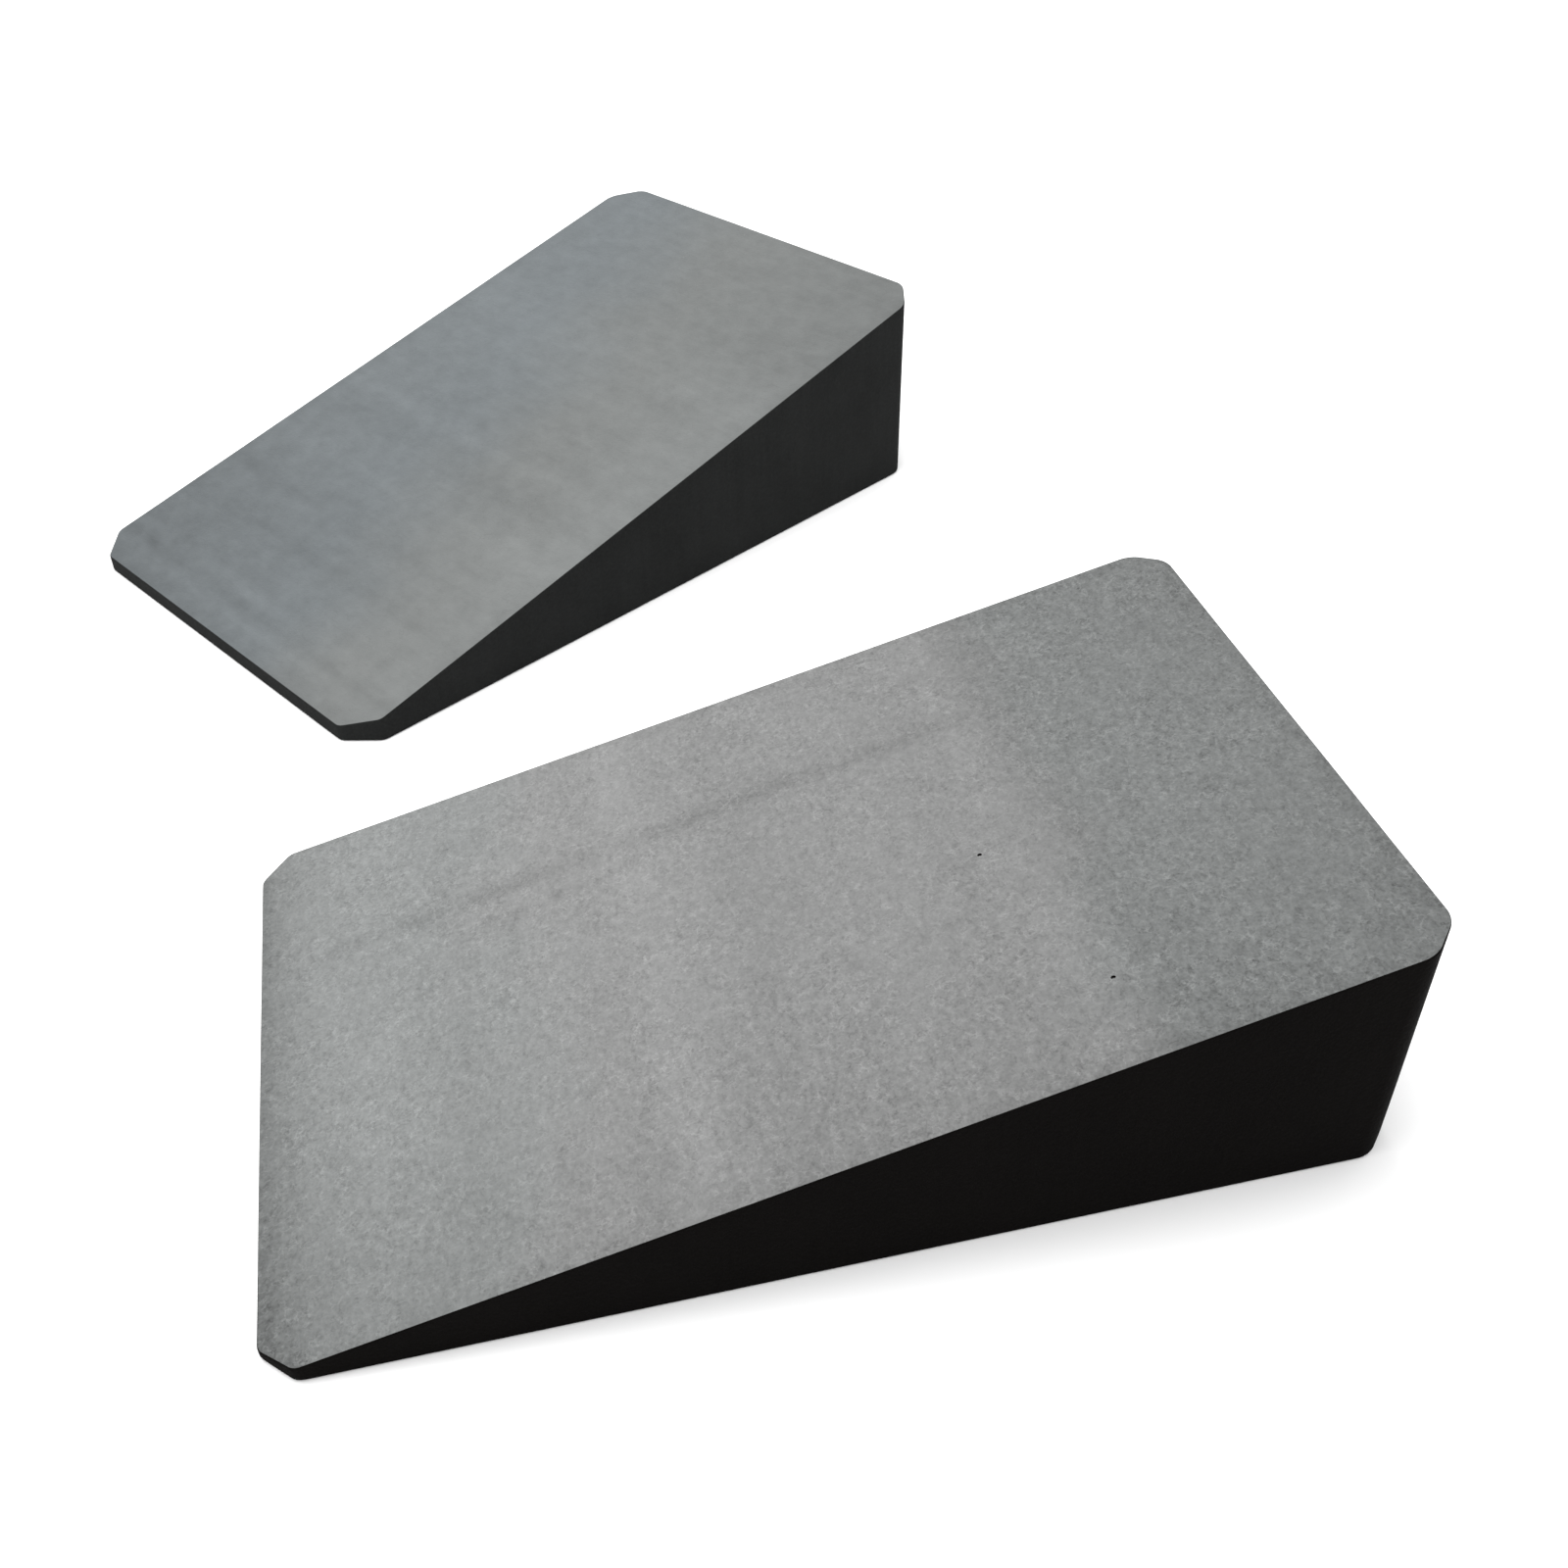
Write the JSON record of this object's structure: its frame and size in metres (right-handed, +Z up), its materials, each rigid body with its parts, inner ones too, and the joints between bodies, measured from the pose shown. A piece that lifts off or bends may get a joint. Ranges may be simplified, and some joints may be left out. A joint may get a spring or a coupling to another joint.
{
  "type": "door stop",
  "caption": "Pair of loose solid foam door wedges, each with a flat ramp from a thin toe to a tall heel and 45 degree cut corners.",
  "frame": {"origin": "middle of the front wedge's base, on the floor", "axes": "+Z up from the floor, +X along the front wedge from its toe to its heel, +Y towards the back wedge"},
  "size_m": [0.1814, 0.2796, 0.0408],
  "materials": {
    "front_foam": "matte",
    "back_foam": "matte"
  },
  "bodies": {
    "front_wedge": {"front_wedge": "front_foam"},
    "back_wedge": {"back_wedge": "back_foam"}
  },
  "joints": [
    {"name": "back_wedge_push", "type": "slide", "parent": "front_wedge", "child": "back_wedge", "axis": [-0.848, -0.5299, 0], "range_m": [0, 0.15]}
  ]
}
